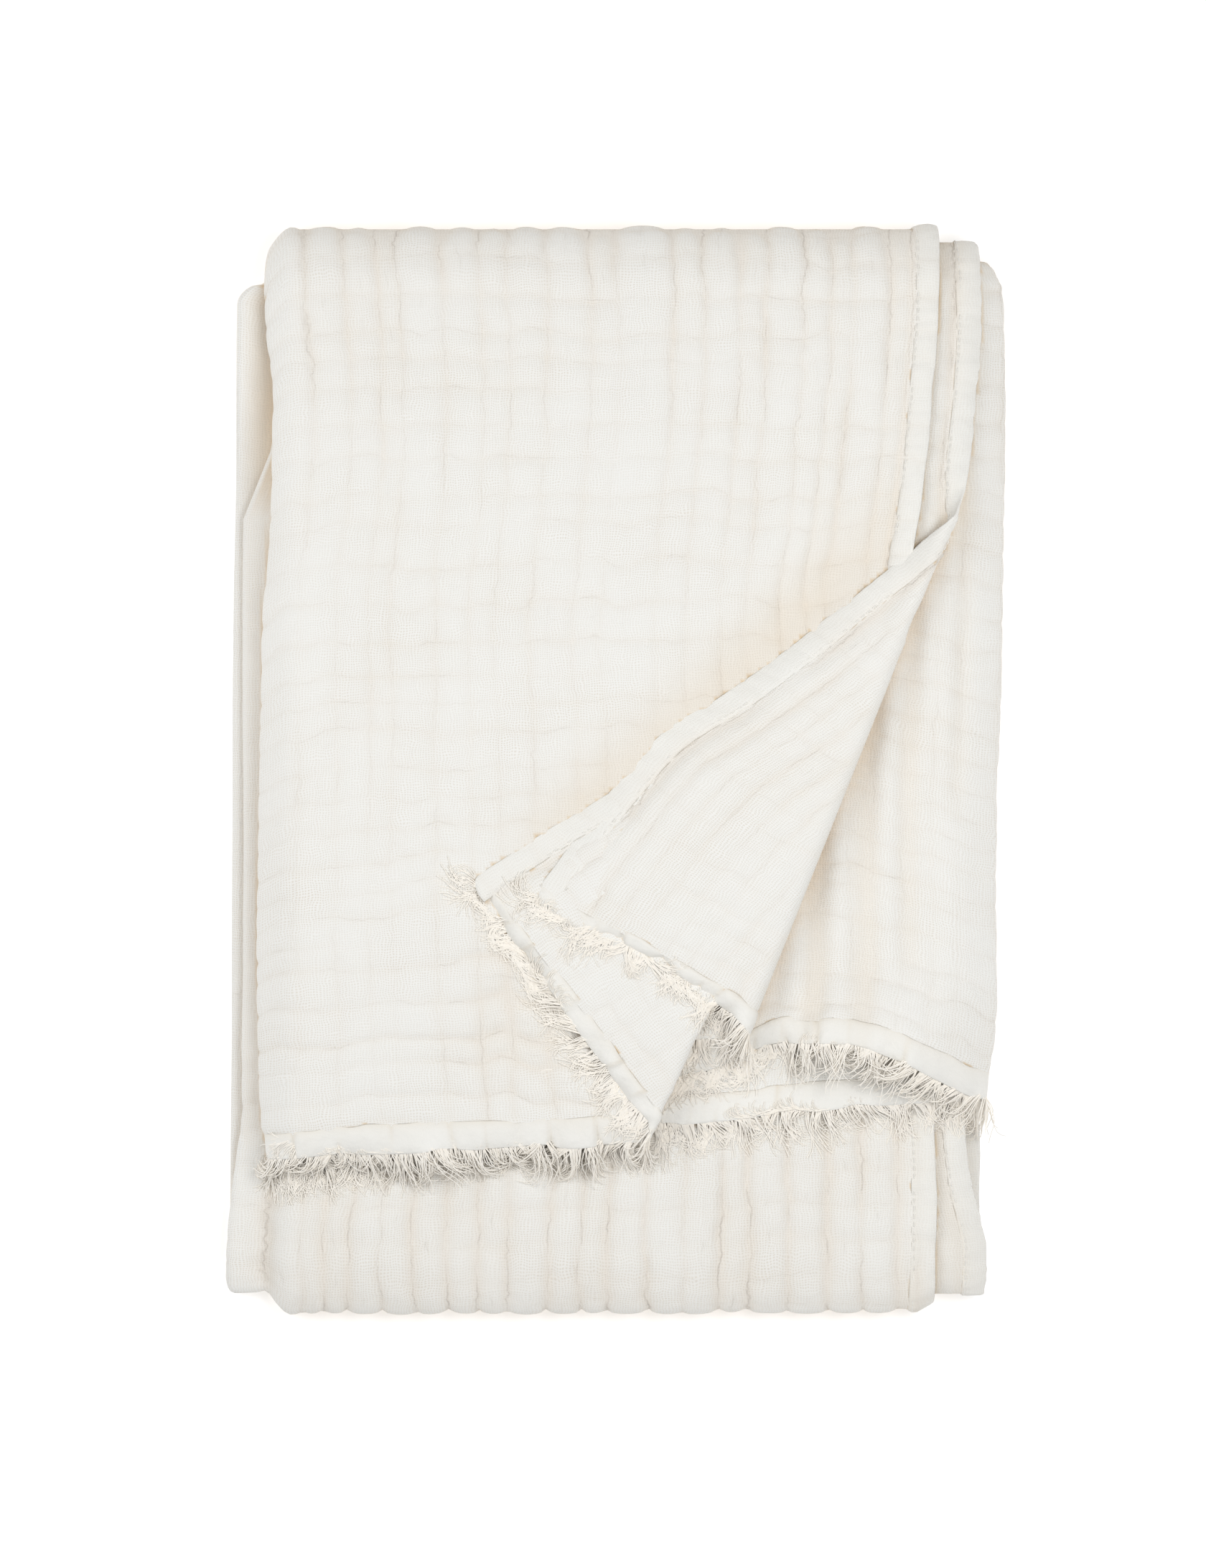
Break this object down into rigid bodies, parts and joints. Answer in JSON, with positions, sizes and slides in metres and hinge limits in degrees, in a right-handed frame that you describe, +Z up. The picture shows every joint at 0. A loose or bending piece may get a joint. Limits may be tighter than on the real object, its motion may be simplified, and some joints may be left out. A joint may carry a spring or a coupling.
{
  "type": "muslin throw blanket",
  "caption": "Cream crinkle muslin throw blanket with fringed ends, folded into a flat rectangular stack with two corners turned back.",
  "frame": {"origin": "centre of the bounding box's bottom face, on the surface that the folded blanket lies on", "axes": "+Y along the stack's length towards the outer crosswise fold, +X towards the side where both long hems lie, +Z up"},
  "size_m": [0.3518, 0.4931, 0.0456],
  "materials": {
    "muslin": "matte crinkled cotton gauze, open weave",
    "fringe": "matte loose cotton yarn"
  },
  "bodies": {
    "root": {"cloth": "muslin", "fringe_visible_end": "fringe", "fringe_hidden_end": "fringe"}
  },
  "joints": []
}
